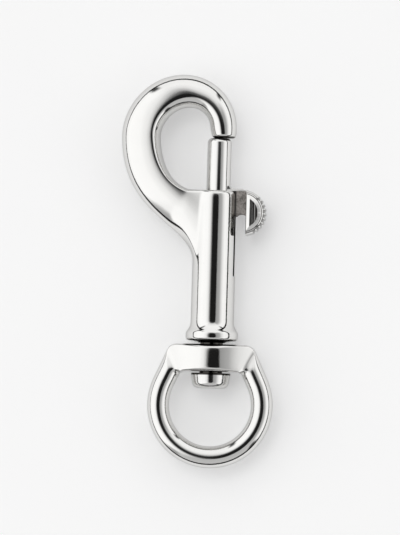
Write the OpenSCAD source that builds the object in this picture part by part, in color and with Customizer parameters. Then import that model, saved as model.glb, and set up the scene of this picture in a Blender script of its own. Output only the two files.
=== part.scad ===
// Swivel snap hook: a cast hook and barrel, a sprung bolt with a thumb knob, and an
// eye that turns on a headed pin. Millimetres. The origin is the centre of the eye,
// +Y runs along the barrel towards the hook, +X towards the thumb knob, and the snap
// lies flat with +Z up.

/* [Swivel eye] */
// Radius of the eye's round opening
eye_r = 9.95; // [8:0.05:13]
// Diameter of the eye's wire
eye_wire_d = 5.3; // [4.4:0.1:6.4]
// Lean of the eye's shoulders from upright, in degrees
shoulder_lean = 25; // [20:1:30]
// Height of the bar's underside above the centre of the eye
bar_rise = 8.05; // [7:0.05:9.5]
// Height of the bar across the top of the eye
bar_h = 6.6; // [5.4:0.1:8]
// Thickness of the bar at the pin
bar_t = 11; // [9.8:0.1:12.4]
// Radius of the bar's round boss, front and back
boss_r = 9.5; // [7:0.1:14]
// Slope of the bar's faces away from the boss, in degrees
bar_slope = 36; // [24:1:40]
// Radius that rounds the long edges of the bar
bar_edge_r = 1.3; // [0.6:0.1:2]

/* [Swivel pin] */
// Diameter of the pin's shank
pin_d = 5.6; // [4.4:0.1:6]
// Diameter of the pin's head
pin_head_d = 9.6; // [8:0.1:10]
// Height of the pin's head
pin_head_h = 3.7; // [2.5:0.05:4.5]
// Length of the shank that is pressed into the barrel
pin_grip = 6; // [4:0.5:8]

/* [Barrel] */
// Diameter of the barrel
barrel_d = 10.44; // [9.8:0.02:12]
// Length of the barrel from the foot of its collar to its mouth
barrel_len = 36.3; // [33:0.1:40]
// Diameter of the collar at the barrel's foot
collar_d = 12.7; // [11.8:0.1:14.5]
// Height of the collar's round bead
bead_h = 2.9; // [2:0.1:3.6]
// Height of the hollow curve between the bead and the barrel
cove_h = 2.1; // [1.4:0.1:3]
// Diameter of the neck that the eye turns against
neck_d = 6.6; // [6.2:0.1:8]
// Height of the neck below the collar
neck_h = 0.5; // [0.4:0.05:1.5]
// Radius that rounds the barrel's mouth
mouth_r = 0.8; // [0.3:0.1:1.1]
// Solid metal between the pin's end and the floor of the bolt's bore
bore_wall = 2; // [1:0.05:4]
// Sideways offset of the bore towards the knob
bore_x = 0.6; // [0:0.1:0.8]

/* [Hook] */
// Height of the gate between the barrel's mouth and the nose
gate_h = 12.75; // [11:0.05:14]
// Height of the loop's centre above the barrel's mouth
loop_rise = 13.6; // [12:0.1:16]
// Distance of the loop's centre from the barrel's axis
loop_reach = 7.8; // [7:0.1:9]
// Width of the loop at its centre
loop_w = 12.1; // [11:0.1:14]
// Height of the loop's crown above its centre
loop_crown = 6.5; // [5.5:0.1:8]
// Width of the hook's limb opposite the nose
limb_w = 9.45; // [8:0.05:11]
// Height of the limb over the loop
crown_w = 8; // [6.5:0.1:9.5]
// Width of the nose at its tip
nose_w = 6; // [5.6:0.1:7]
// Thickness of the nose
nose_t = 6.7; // [5.6:0.1:7]
// Thickness of the crown
crown_t = 7; // [6:0.1:8]
// Thickness of the limb opposite the nose
limb_t = 8; // [6.6:0.1:9]
// Thickness of the web where it runs into the barrel
web_t = 8; // [7:0.1:9]
// Radius that rounds the tip of the nose
nose_edge_r = 1; // [0.5:0.1:1.6]
// Sideways offset of the nose from the rod, away from the loop
nose_offset = 1; // [0.4:0.1:1.4]
// Sideways lean of the crown towards the nose
crown_lean = 1; // [0:0.1:2]
// Height up the barrel where the web ends
web_foot = 17; // [15:0.5:20]

/* [Bolt] */
// Diameter of the bolt's rod
rod_d = 5.8; // [5:0.1:6.2]
// Length of the rod inside the barrel when the snap is shut
rod_seat = 8.8; // [8:0.1:10]
// Radius that rounds the tip of the rod
rod_tip_r = 1; // [0.4:0.1:1.6]
// Travel of the bolt
bolt_travel = 14.3; // [12:0.1:14.6]
// Thickness of the stem that joins the rod to the knob
stem_t = 3.5; // [2.6:0.1:4]
// Height of the stem
stem_h = 6.2; // [5:0.1:7]
// Gap between the barrel and the knob
knob_gap = 2.4; // [1.6:0.05:3]
// Radius of the knob's round side
knob_r = 5.5; // [4.8:0.1:6.5]
// Thickness of the knob
knob_t = 7; // [6:0.1:8]
// Radius that rounds the knob's rim
knob_edge_r = 1; // [0.6:0.05:1.5]
// Radius that rounds the edges of the knob's flat back
knob_back_r = 0.4; // [0.2:0.05:0.8]
// Slope of the bevel round the knob's pockets, in degrees
knob_slope = 20; // [10:1:30]
// Width of the rim left round the knob's pockets
pocket_rim = 1.8; // [1.5:0.1:2.6]
// Depth of each pocket
pocket_depth = 1.2; // [0.6:0.1:2]
// Number of grip grooves round the knob
groove_count = 9; // [6:1:12]
// Radius of each grip groove
groove_r = 0.3; // [0.15:0.05:0.35]

/* [Spring] */
// Diameter of the spring's wire
spring_wire_d = 0.65; // [0.5:0.05:0.7]
// Number of the spring's turns
spring_turns = 8; // [6:1:8]

/* [Fits] */
// Clearance all round the rod in its bore
bore_clearance = 0.1; // [0.05:0.01:0.2]
// Clearance on each side of the stem in its slot
slot_clearance = 0.2; // [0.1:0.05:0.4]
// Clearance all round the pin in the eye
swivel_clearance = 0.1; // [0.05:0.01:0.2]
// End play of the eye at each face of its bar
swivel_play = 0.35; // [0.1:0.05:0.5]
// Gap between the rod's tip and the nose when the snap is shut
nose_gap = 0.2; // [0.1:0.05:0.5]
// Gap round the spring and at its ends
spring_clearance = 0.1; // [0.05:0.01:0.2]

/* [Hidden] */
$fn = 64;
LIMB_SIDES = 28;
OVERLAP = 0.3;
STEM_RISE = 0.1;

// Heights along the snap, upwards from the centre of the eye
bar_top = bar_rise + bar_h;
neck_face = bar_top + swivel_play;
collar_foot = neck_face + neck_h;
mouth = collar_foot + barrel_len;
bore_floor = neck_face + pin_grip + bore_wall;
loop_y = mouth + loop_rise;
nose_tip = mouth + gate_h;
rod_top = nose_tip - nose_gap;
rod_foot = mouth - rod_seat;
stem_top = mouth + STEM_RISE;
stem_foot = stem_top - stem_h;
slot_foot = stem_foot - bolt_travel - slot_clearance;

// Radii and half widths
wire_r = eye_wire_d / 2;
barrel_r = barrel_d / 2;
rod_r = rod_d / 2;
bore_r = rod_r + bore_clearance;
spring_r = bore_r - spring_clearance - spring_wire_d / 2;
slot_half = stem_t / 2 + slot_clearance;

// ---- shared shapes ----

function ease(x) = x < 0 ? 0 : x > 1 ? 1 : x * x * (3 - 2 * x);
function blend(a, b, x) = a + (b - a) * x;

// Skins a row of rings that all have the same number of points
module loft(rings, closed = false) {
    sides = len(rings[0]);
    count = len(rings);
    last = (count - 1) * sides;
    walls = [for (i = [0:count - (closed ? 1 : 2)], j = [0:sides - 1])
        let (a = i * sides, b = (i + 1) % count * sides, k = (j + 1) % sides)
        each [[a + j, b + k, a + k], [a + j, b + j, b + k]]];
    caps = [[for (j = [0:sides - 1]) j], [for (j = [sides - 1:-1:0]) last + j]];
    polyhedron([for (ring = rings) each ring], closed ? walls : concat(walls, caps));
}

// One ring between an outer and an inner point, thickest at its crest, a share of the way
// across. Its outer side is a slope, a share of the height, down to a rim of the given radius
function limb_ring(outer, inner, half_t, crest, slope, rim) = [for (j = [0:LIMB_SIDES - 1])
    let (turn = 360 * j / LIMB_SIDES, c = cos(turn), s = sin(turn),
        place = blend(outer, inner, crest + (c > 0 ? 1 - crest : crest) * c),
        on_rim = 1 - min(1, (1 + c) * max(1, crest * norm(inner - outer) / rim)),
        ramp = c > 0 ? s : sign(s) * (slope * (1 + c) + (1 - slope) * sqrt(1 - on_rim * on_rim)))
    [place.x, place.y, half_t * ramp]];

// One ring with round corners between an outer and an inner point, each with its half thickness
function block_ring(outer, inner, half_out, half_in, corner) = [for (side = [0:3], step = [0.5:5.5])
    let (turn = 90 * side + 15 * step, half_w = norm(inner - outer) / 2,
        along = (inner - outer) / (2 * half_w), middle = (outer + inner) / 2,
        sx = side == 0 || side == 3 ? 1 : -1, sz = side < 2 ? 1 : -1,
        u = sx * (half_w - corner) + corner * cos(turn),
        half_t = blend(half_out, half_in, (u / half_w + 1) / 2))
    [middle.x + along.x * u, middle.y + along.y * u, sz * (half_t - corner) + corner * sin(turn)]];

// Turns a profile of radius and height about the barrel's axis
module turned(x = 0) {
    translate([x, 0, 0]) rotate([-90, 0, 0]) rotate_extrude() children();
}

// A bar profile from the axis out to r, with its top corner rounded
module rounded_end(r, foot, top, edge) {
    translate([0, foot]) square([r, top - foot - edge]);
    translate([0, foot]) square([r - edge, top - foot]);
    translate([r - edge, top - edge]) circle(edge);
}

// ---- hook, barrel and collar: one casting ----

CROWN_SWELL = 0.1;
// The loop's edge and the hook's back round the crown, from the nose at 0 to the limb at 180
function loop_edge(turn) = [-loop_reach + loop_w / 2 * cos(turn) + crown_lean * sin(turn),
    loop_y + loop_crown * sin(turn)];
back_left = -loop_reach - loop_w / 2 - limb_w;
back_right = bore_x + nose_offset + nose_w / 2 + CROWN_SWELL;
function back_edge(turn) = [(back_right + back_left) / 2 + (back_right - back_left) / 2 * cos(turn)
    + crown_lean * sin(turn), loop_y + (loop_crown + crown_w) * sin(turn)];

// The same two edges down the web, from the limb at 0 to the barrel at 1
LOOP_SHARE = 0.72;
LOOP_POWER = 0.93;
WEB_SINK = 0.3;
web_end = collar_foot + web_foot;
loop_foot_x = OVERLAP + 0.5 - barrel_r;
web_last_x = -barrel_r / 3;
loop_foot_w = loop_reach + loop_w / 2 + loop_foot_x;
function web_inner(t) = t < LOOP_SHARE
    ? [loop_foot_x - loop_foot_w * pow(cos(90 * t / LOOP_SHARE), LOOP_POWER),
        loop_y - loop_rise * pow(sin(90 * t / LOOP_SHARE), LOOP_POWER)]
    : [blend(loop_foot_x, web_last_x, (t - LOOP_SHARE) / (1 - LOOP_SHARE)),
        mouth - WEB_SINK * ease(t - LOOP_SHARE)];
function cubic(a, b, c, d, t) = a * pow(1 - t, 3) + 3 * b * t * pow(1 - t, 2)
    + 3 * c * t * t * (1 - t) + d * pow(t, 3);
web_drop = loop_y - web_end;
function web_outer(t) = cubic([back_left, loop_y], [back_left, loop_y - web_drop * 2 / 3],
    [OVERLAP - barrel_r, web_end + web_drop / 3], [OVERLAP - barrel_r, web_end], t);

// Thickness, crest, slope and rim at stations from the nose at 0 to the barrel at 1
NOSE_CREST = 0.54;
ROUND_RIM = 9;
hook_stations = [
    [0, nose_t, NOSE_CREST, 0, ROUND_RIM],
    [0.25, crown_t, 0.66, 0.12, 4.2],
    [0.375, (crown_t + limb_t) / 2, 0.74, 0.35, 3],
    [0.5, limb_t, 0.8, 0.55, 2.1],
    [0.75, (limb_t + web_t) / 2, 0.9, 0.7, 1.7],
    [1, web_t, 0.95, 0.75, 1.5]];
function along_hook(s, column) = lookup(s, [for (station = hook_stations) [station[0], station[column]]]);
function hook_ring(outer, inner, s) = limb_ring(outer, inner, along_hook(s, 1) / 2,
    along_hook(s, 2), along_hook(s, 3), along_hook(s, 4));

nose_x = bore_x + nose_offset;
nose_rings = [for (turn = [90, 60, 30, 0])
    let (inset = nose_edge_r * (1 - cos(turn)), y = nose_tip + nose_edge_r * (1 - sin(turn)))
    limb_ring([nose_x + nose_w / 2 - inset, y], [nose_x - nose_w / 2 + inset, y],
        nose_t / 2 - inset, NOSE_CREST, 0, ROUND_RIM)];
crown_rings = [for (turn = [9:9:180]) hook_ring(back_edge(turn), loop_edge(turn), turn / 360)];
web_rings = [for (t = [0.05:0.05:1.001]) hook_ring(web_outer(t), web_inner(t), 0.5 + t / 2)];
// The web ends on a ring inside the barrel
ROOT_SINK = 0.7;
root_ring = limb_ring([-barrel_r / 2, web_end - ROOT_SINK], [-WEB_SINK, mouth - ROOT_SINK],
    barrel_r - ROOT_SINK, 0.7, 0, ROUND_RIM);

// Barrel with its round mouth, hollow cove, round bead and neck
FOOT_R = 0.8;
BEAD_MID = 1.6;
module barrel_profile() {
    bead_r = bead_h - BEAD_MID;
    bead = [collar_d / 2 - bead_r, collar_foot + BEAD_MID];
    cove_start = bead + bead_r * [sin(45), sin(45)];
    cove_out = cove_start.x - barrel_r;
    cove_r = (cove_out * cove_out + cove_h * cove_h) / (2 * cove_out);
    rounded_end(barrel_r, collar_foot, mouth, mouth_r);
    translate(bead) circle(bead_r);
    translate([collar_d / 2 - FOOT_R, collar_foot + FOOT_R]) circle(FOOT_R);
    translate([0, collar_foot + FOOT_R]) square([collar_d / 2, bead.y - collar_foot - FOOT_R]);
    translate([0, collar_foot]) square([collar_d / 2 - FOOT_R, bead_h]);
    difference() {
        translate([0, bead.y]) square([cove_start.x, cove_start.y + cove_h - bead.y]);
        translate([barrel_r + cove_r, cove_start.y + cove_h]) circle(cove_r);
    }
    translate([0, neck_face]) square([neck_d / 2, neck_h + OVERLAP]);
}

module hook_body() {
    color("silver") difference() {
        union() {
            loft(concat(nose_rings, crown_rings, web_rings, [root_ring]));
            turned() barrel_profile();
        }
        turned(bore_x) translate([0, bore_floor]) square([bore_r, mouth + 1 - bore_floor]);
        translate([bore_x, slot_foot, -slot_half]) cube([barrel_r, mouth + 1 - slot_foot, 2 * slot_half]);
        turned() translate([0, neck_face - 1]) square([pin_d / 2, pin_grip + 1]);
    }
}

// ---- bolt: rod, stem and thumb knob in one casting ----

knob_back = barrel_r + knob_gap;
KNOB_CUT = 0.75;
KNOB_RISE = 0.15;
POCKET_BACK = 0.95;
knob_centre = [knob_back - KNOB_CUT, stem_top - knob_r + KNOB_RISE];
FIRST_GROOVE = 41;
GROOVE_SPAN = 110.25;
groove_step = GROOVE_SPAN / groove_count;
STEM_FILLET = 1;
ARCH_R = 1.55;
ARCH_H = 0.55;

module stem_profile() {
    difference() {
        translate([bore_x, stem_foot]) square([knob_back + OVERLAP - bore_x, stem_h]);
        translate([(barrel_r + knob_back) / 2, stem_foot + ARCH_H - ARCH_R]) circle(ARCH_R);
    }
    difference() {
        translate([bore_x, stem_top - OVERLAP]) square([rod_r + STEM_FILLET, STEM_FILLET + OVERLAP]);
        translate([bore_x + rod_r + STEM_FILLET, stem_top + STEM_FILLET]) circle(STEM_FILLET);
    }
}

// A trough with a D-shaped outline, cut into each face
module pocket() {
    pocket_r = knob_r - pocket_rim;
    back = KNOB_CUT + POCKET_BACK;
    intersection() {
        cylinder(r = pocket_r, h = 2 * pocket_depth, center = true);
        translate([(pocket_r + back) / 2, 0, 0]) rotate([90, 0, 0])
            scale([(pocket_r - back) / 2, pocket_depth, 1]) cylinder(r = 1, h = 2 * pocket_r, center = true);
    }
}

// A face corner with a round edge at the given reach and a bevel from there in to the pocket
module bevelled_end(reach, pocket_edge, edge) {
    half = knob_t / 2;
    turn_out = reach - edge * (1 - sin(knob_slope));
    drop = (turn_out - pocket_edge) * tan(knob_slope);
    edge_mid = half - drop - edge * cos(knob_slope);
    rounded_end(reach, 0, edge_mid + edge, edge);
    polygon([[0, 0], [turn_out, 0], [turn_out, half - drop], [pocket_edge, half], [0, half]]);
}

module knob() {
    pocket_r = knob_r - pocket_rim;
    bevel_fall = (pocket_rim - knob_edge_r / 2) * tan(knob_slope);
    groove_top = knob_t / 2 - bevel_fall;
    groove_in = knob_edge_r / 3;
    translate([knob_centre.x, knob_centre.y, 0]) difference() {
        intersection() {
            for (side = [0, 1]) mirror([0, 0, side]) rotate_extrude()
                bevelled_end(knob_r, pocket_r, knob_edge_r);
            for (side = [0, 1]) mirror([0, 0, side]) rotate([90, 0, 0])
                linear_extrude(2 * knob_r + 2, center = true) translate([KNOB_CUT + knob_r, 0])
                mirror([1, 0]) bevelled_end(knob_r, knob_r - POCKET_BACK, knob_back_r);
        }
        for (side = [0, 1]) mirror([0, 0, side]) translate([0, 0, knob_t / 2]) pocket();
        for (k = [0:groove_count - 1]) rotate(FIRST_GROOVE - groove_step * k) {
            translate([knob_r, 0, 0]) cylinder(r = groove_r, h = 2 * groove_top, center = true);
            for (side = [0, 1]) mirror([0, 0, side])
                translate([knob_r - groove_in, 0, groove_top - groove_in])
                rotate([0, -45, 0]) cylinder(r = groove_r, h = 2 * knob_edge_r, center = true);
        }
    }
}

module bolt() {
    color("gainsboro") {
        turned(bore_x) rounded_end(rod_r, rod_foot, rod_top, rod_tip_r);
        translate([0, 0, -stem_t / 2]) linear_extrude(stem_t) stem_profile();
        knob();
    }
}

// ---- spring: a coil with closed ends ----

TURN_STEPS = 16;
WIRE_SIDES = 8;
coil_foot = bore_floor + spring_clearance + spring_wire_d / 2;
coil_top = rod_foot - spring_clearance - spring_wire_d / 2;
end_pitch = spring_wire_d * 1.05;
mid_pitch = (coil_top - coil_foot - 2 * end_pitch) / (spring_turns - 2);
function coil_y(turns) = turns < 1 ? coil_foot + end_pitch * turns
    : turns > spring_turns - 1 ? coil_top - end_pitch * (spring_turns - turns)
    : coil_foot + end_pitch + mid_pitch * (turns - 1);

module spring() {
    color("darkgray") loft([for (i = [0:spring_turns * TURN_STEPS])
        let (turn = 360 * i / TURN_STEPS, y = coil_y(i / TURN_STEPS))
        [for (j = [0:WIRE_SIDES - 1])
            let (a = 360 * j / WIRE_SIDES, r = spring_r + spring_wire_d / 2 * cos(a))
            [bore_x + r * cos(turn), y + spring_wire_d / 2 * sin(a), r * sin(turn)]]]);
}

// ---- swivel pin: a headed rivet pressed into the barrel ----

HEAD_TAPER = 0.3;
HEAD_EDGE = 1.6;
PRESS_GAP = 0.02;

module swivel_pin() {
    head_top = bar_rise - swivel_play;
    head_foot = head_top - pin_head_h;
    head_low = pin_head_d / 2 - HEAD_TAPER;
    color("silver") turned() {
        polygon([[0, head_foot], [head_low - HEAD_EDGE, head_foot], [head_low, head_foot + HEAD_EDGE],
            [pin_head_d / 2, head_top], [0, head_top]]);
        translate([head_low - HEAD_EDGE, head_foot + HEAD_EDGE]) circle(HEAD_EDGE);
        translate([0, head_top - 1]) square([pin_d / 2 - PRESS_GAP,
            neck_face + pin_grip - PRESS_GAP - head_top + 1]);
    }
}

// ---- swivel eye: one casting ----

eye_mid = eye_r + wire_r;
along = [-sin(shoulder_lean), cos(shoulder_lean)];
outward = [cos(shoulder_lean), sin(shoulder_lean)];
corner_s = (bar_top - wire_r - eye_mid * sin(shoulder_lean)) / cos(shoulder_lean);
corner = eye_mid * outward + corner_s * along;
crook_s = (bar_rise - eye_r * sin(shoulder_lean)) / cos(shoulder_lean);
crook = eye_r * outward + crook_s * along;
CROOK_R = 0.8;
CORNER_SHARE = 0.4;
FACE_SHARE = 0.5;
// The bar's half thickness: a round boss at the pin that runs out into sloping arms
boss_run = boss_r * pow(tan(bar_slope), 2);
function bar_half(x) = bar_t / 2 + boss_run - sqrt(pow(x * tan(bar_slope), 2) + boss_run * boss_run);
// The bar's long edges are rounded more where it is thicker
function bar_edge(x) = bar_edge_r * bar_half(x) / bar_half(0);
function arm(radius, s) = radius * outward + s * along;

// Each station holds its outer and inner points, their half thicknesses and its corner radius
arc_stations = [for (k = [0:20]) let (turn = blend(-90, shoulder_lean, k / 20), way = [cos(turn), sin(turn)])
    [(eye_r + eye_wire_d) * way, eye_r * way, wire_r, wire_r, wire_r]];
arm_stations = [for (k = [1:3]) let (s = (crook_s - CROOK_R) * k / 4)
    [arm(eye_r + eye_wire_d, s), arm(eye_r, s), wire_r, wire_r, wire_r]];
corner_stations = [for (k = [0:8])
    let (t = k / 8, bend = max(0, (t - CORNER_SHARE) / (1 - CORNER_SHARE)),
        turn = blend(shoulder_lean, 90, bend), run = blend(crook_s - CROOK_R, corner_s, t / CORNER_SHARE),
        outer = t < CORNER_SHARE ? arm(eye_r + eye_wire_d, run)
            : corner + wire_r * [cos(turn), sin(turn)],
        inner = (crook - CROOK_R * along) * pow(1 - t, 2) + 2 * crook * t * (1 - t)
            + (crook - [CROOK_R, 0]) * t * t,
        square_up = ease(t / FACE_SHARE))
    [outer, inner, blend(wire_r, bar_half(outer.x), square_up), blend(wire_r, bar_half(inner.x), square_up),
        blend(wire_r, bar_edge(outer.x), square_up)]];
bar_stations = [for (k = [1:9])
    let (x = 1 - k / 9, top_x = corner.x * x, foot_x = (crook.x - CROOK_R) * x)
    [[top_x, bar_top], [foot_x, bar_rise], bar_half(top_x), bar_half(foot_x), bar_edge(top_x)]];
right_stations = concat(arc_stations, arm_stations, corner_stations, bar_stations);

function station_ring(s, side) =
    block_ring([side * s[0].x, s[0].y], [side * s[1].x, s[1].y], s[2], s[3], s[4]);

module swivel_eye() {
    last = len(right_stations) - 1;
    color("silver") difference() {
        loft(concat([for (s = right_stations) station_ring(s, 1)],
            [for (i = [last - 1:-1:1]) station_ring(right_stations[i], -1)]), closed = true);
        turned() translate([0, bar_rise - 1]) square([pin_d / 2 + swivel_clearance, bar_h + 2]);
    }
}

hook_body();
bolt();
spring();
swivel_pin();
swivel_eye();
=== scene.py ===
import math

import bmesh
import bpy
from mathutils import Euler, Matrix, Vector


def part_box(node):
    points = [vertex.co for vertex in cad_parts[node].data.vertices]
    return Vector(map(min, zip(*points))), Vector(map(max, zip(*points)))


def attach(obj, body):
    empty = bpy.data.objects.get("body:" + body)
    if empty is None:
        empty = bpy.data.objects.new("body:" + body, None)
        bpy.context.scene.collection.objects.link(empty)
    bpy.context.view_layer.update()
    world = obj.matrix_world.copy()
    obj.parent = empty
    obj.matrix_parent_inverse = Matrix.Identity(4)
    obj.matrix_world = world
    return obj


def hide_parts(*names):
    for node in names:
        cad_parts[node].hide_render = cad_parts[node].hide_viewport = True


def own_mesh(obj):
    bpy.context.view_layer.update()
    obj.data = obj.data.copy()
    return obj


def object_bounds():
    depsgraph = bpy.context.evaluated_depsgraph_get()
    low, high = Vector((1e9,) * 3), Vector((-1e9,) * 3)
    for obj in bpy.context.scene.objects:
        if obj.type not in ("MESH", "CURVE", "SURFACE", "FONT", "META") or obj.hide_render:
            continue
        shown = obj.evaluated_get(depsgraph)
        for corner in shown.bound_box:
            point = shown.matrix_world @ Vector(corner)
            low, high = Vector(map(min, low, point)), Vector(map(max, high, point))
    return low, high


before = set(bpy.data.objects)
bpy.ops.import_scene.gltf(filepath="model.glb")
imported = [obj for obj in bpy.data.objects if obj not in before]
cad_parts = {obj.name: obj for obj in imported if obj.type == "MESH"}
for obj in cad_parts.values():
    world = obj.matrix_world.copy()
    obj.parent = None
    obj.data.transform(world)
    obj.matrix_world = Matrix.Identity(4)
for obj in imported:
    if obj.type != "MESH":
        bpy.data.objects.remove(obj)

bl_info = {
    "name": "Swivel Snap Hook",
    "version": (1, 0, 0),
    "blender": (4, 5, 0),
    "location": "3D View > Sidebar > Snap Hook",
    "description": "Builds a polished swivel snap hook and the light tent it lies in",
    "category": "Add Mesh",
}

MM = 0.001
CAD_LOW, CAD_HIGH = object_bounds()
HOOK_LOW, HOOK_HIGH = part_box("hook_body")
BOLT_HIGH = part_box("bolt")[1]
PIN_LOW, PIN_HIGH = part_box("swivel_pin")
EYE_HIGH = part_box("swivel_eye")[1]
SPRING_LOW, SPRING_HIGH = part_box("spring")


# ---- sizes and finishes that a user can change ----

def length(name, description, millimetres):
    return bpy.props.FloatProperty(
        name=name, description=description, default=millimetres * MM,
        min=0, precision=5, unit="LENGTH")


def tone(name, description, red, green, blue):
    return bpy.props.FloatVectorProperty(
        name=name, description=description, default=(red, green, blue),
        min=0, max=1, size=3, subtype="COLOR")


class SnapBarrelSizes(bpy.types.PropertyGroup):
    barrel_r: length("Barrel radius", "Radius of the barrel", 5.22)
    collar_r: length("Collar radius", "Radius of the collar's bead", HOOK_HIGH.z / MM)
    collar_foot: length("Collar foot", "Height of the collar's foot", HOOK_LOW.y / MM + 0.5)
    mouth: length("Mouth", "Height of the barrel's mouth", 51.8)
    mouth_edge: length("Mouth edge", "Radius that rounds the barrel's mouth", 0.8)
    neck_r: length("Neck radius", "Radius of the neck under the collar", 3.3)
    foot_edge: length("Foot edge", "Radius that rounds the collar's foot", 0.8)
    bead_rise: length("Bead rise", "Height of the bead's middle above the collar's foot", 1.6)
    bead_edge: length("Bead edge", "Radius of the bead", 1.3)
    cove_rise: length("Cove rise", "Height of the hollow above the bead", 2.1)
    bore_x: length("Bore offset", "Offset of the bore towards the knob", 0.6)
    bore_r: length("Bore radius", "Radius of the bore for the bolt", 3.0)
    bore_floor: length("Bore floor", "Height of the bore's floor", SPRING_LOW.y / MM - 0.1)
    slot_half: length("Slot half width", "Half the width of the slot for the stem", 1.95)
    slot_foot: length("Slot foot", "Height of the slot's lower end", 31.2)


class SnapHookSizes(bpy.types.PropertyGroup):
    loop_y: length("Loop height", "Height of the loop's centre", 65.4)
    loop_x: length("Loop place", "Sideways place of the loop's centre", -7.8)
    loop_half: length("Loop half width", "Half the width of the loop", 6.05)
    loop_crown: length("Loop crown", "Height of the loop above its centre", 6.5)
    crown_width: length("Crown width", "Height of the limb over the loop", 8.0)
    crown_lean: length("Crown lean", "Sideways lean of the crown towards the nose", 1.0)
    nose_x: length("Nose place", "Sideways place of the nose", 1.6)
    nose_width: length("Nose width", "Width of the nose", 6.0)
    nose_thickness: length("Nose thickness", "Thickness of the nose", 6.7)
    nose_edge: length("Nose edge", "Radius that rounds the tip of the nose", 1.0)
    nose_tip: length("Nose tip", "Height of the nose's tip", 64.55)
    crown_thickness: length("Crown thickness", "Thickness of the crown", 7.0)
    limb_thickness: length("Limb thickness", "Thickness of the limb opposite the nose", 8.0)
    web_thickness: length("Web thickness", "Thickness of the web beside the barrel", 8.0)
    web_foot: length("Web foot", "Height at which the web leaves the barrel", 33.6)


class SnapBoltSizes(bpy.types.PropertyGroup):
    rod_r: length("Rod radius", "Radius of the rod", 2.9)
    rod_foot: length("Rod foot", "Height of the rod's foot", 43.0)
    rod_tip: length("Rod tip", "Height of the rod's tip", BOLT_HIGH.y / MM + 0.14)
    rod_edge: length("Rod edge", "Radius that rounds the rod's tip", 1.0)
    stem_half: length("Stem half thickness", "Half the thickness of the stem", 1.75)
    stem_foot: length("Stem foot", "Height of the stem's lower edge", 45.7)
    stem_top: length("Stem top", "Height of the stem's upper edge", 51.9)
    rib: length("Rib", "Height of the bright rib along the stem's upper edge", 0.5)
    knob_back: length("Knob back", "Sideways place of the knob's flat back", 7.62)
    knob_r: length("Knob radius", "Radius of the knob's round side", 5.5)
    knob_cut: length("Knob cut", "How far the flat back is from the knob's centre", 0.75)
    knob_half: length("Knob half thickness", "Half the thickness of the knob", BOLT_HIGH.z / MM)
    knob_edge: length("Knob edge", "Radius that rounds the knob's rim", 1.6)
    knob_back_edge: length("Knob back edge", "Radius that rounds the knob's flat back", 0.4)
    knob_slope: bpy.props.FloatProperty(
        name="Knob slope", description="Slope of the bevel round the knob's pockets",
        default=math.radians(27), subtype="ANGLE")
    pocket_rim: length("Pocket rim", "Width of the rim round each pocket", 1.8)
    pocket_depth: length("Pocket depth", "Depth of each pocket", 1.2)
    groove_r: length("Groove radius", "Radius of each grip groove", 0.36)
    groove_count: bpy.props.IntProperty(
        name="Grooves", description="Number of grip grooves", default=9, min=1)


class SnapEyeSizes(bpy.types.PropertyGroup):
    eye_r: length("Eye radius", "Radius of the eye's round opening", 9.95)
    wire_r: length("Wire radius", "Radius of the eye's wire", 2.65)
    lean: bpy.props.FloatProperty(
        name="Shoulder lean", description="Lean of the eye's shoulders from upright",
        default=math.radians(25), subtype="ANGLE")
    bar_foot: length("Bar underside", "Height of the bar's underside", 8.05)
    bar_top: length("Bar top", "Height of the bar's top", EYE_HIGH.y / MM)
    bar_half: length("Bar half thickness", "Half the bar's thickness at the pin", EYE_HIGH.z / MM)
    boss_r: length("Boss radius", "Radius of the bar's round boss", 9.5)
    bar_slope: bpy.props.FloatProperty(
        name="Bar slope", description="Slope of the bar's faces away from the boss",
        default=math.radians(36), subtype="ANGLE")
    bar_edge: length("Bar edge", "Radius that rounds the bar's long edges", 1.3)
    pin_r: length("Pin radius", "Radius of the pin's shank", 2.78)
    head_r: length("Head radius", "Radius of the pin's head", PIN_HIGH.x / MM)
    head_taper: length("Head taper", "How much narrower the head's lower end is", 0.3)
    head_edge: length("Head edge", "Radius that rounds the head's lower end", 1.6)
    head_foot: length("Head foot", "Height of the head's lower end", PIN_LOW.y / MM)
    head_top: length("Head top", "Height of the head's upper end", 7.7)
    pin_end: length("Pin end", "Height of the pin's end in the barrel", PIN_HIGH.y / MM)


class SnapSpringSizes(bpy.types.PropertyGroup):
    wire_r: length("Spring wire radius", "Radius of the spring's wire", 0.325)
    coil_r: length("Coil radius", "Radius of the spring's coil to the middle of its wire", 2.575)
    turns: bpy.props.IntProperty(
        name="Turns", description="Number of the spring's turns", default=8, min=3)


class SnapFinish(bpy.types.PropertyGroup):
    polish: tone("Polished steel", "Colour of the polished casting", 0.795, 0.79, 0.775)
    as_cast: tone("As-cast steel", "Colour of the stem, left as cast", 0.36, 0.335, 0.315)
    spring: tone("Spring steel", "Colour of the spring's wire", 0.42, 0.41, 0.40)
    # The near-black bore colour is painted shade: it darkens the inside of the bore, slot and pin holes, and
    # the gaps at the swivel and the nose.
    bore: tone("Bore", "Colour of the bare metal in bores and gaps", 0.055, 0.052, 0.048)
    # The dark recess colour is painted shade in the knob's pockets, lines and grooves.
    recess_shade: tone("Recess", "Colour of the metal in the knob's pockets and grooves", 0.3, 0.295, 0.285)
    floor: tone("Floor", "Colour of the floor", 0.715, 0.715, 0.715)


# ---- mesh helpers ----

SLIVER_SHARE = 0.01


def ease(x):
    x = min(1.0, max(0.0, x))
    return x * x * (3 - 2 * x)


def mix(a, b, share):
    return a + (b - a) * share


def arc(centre, radius, start, end, steps):
    """Points on an arc from one angle in degrees to another, both included."""
    turns = [math.radians(mix(start, end, k / steps)) for k in range(steps + 1)]
    return [(centre[0] + radius * math.cos(t), centre[1] + radius * math.sin(t)) for t in turns]


def first_ring(bm, points):
    ring = bmesh.ops.create_circle(bm, segments=len(points), radius=MM)["verts"]
    for vert, point in zip(ring, points):
        vert.co = point
    return list(ring)


def closed_edges(bm, ring):
    return [bm.edges.get((ring[k], ring[(k + 1) % len(ring)])) for k in range(len(ring))]


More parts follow.
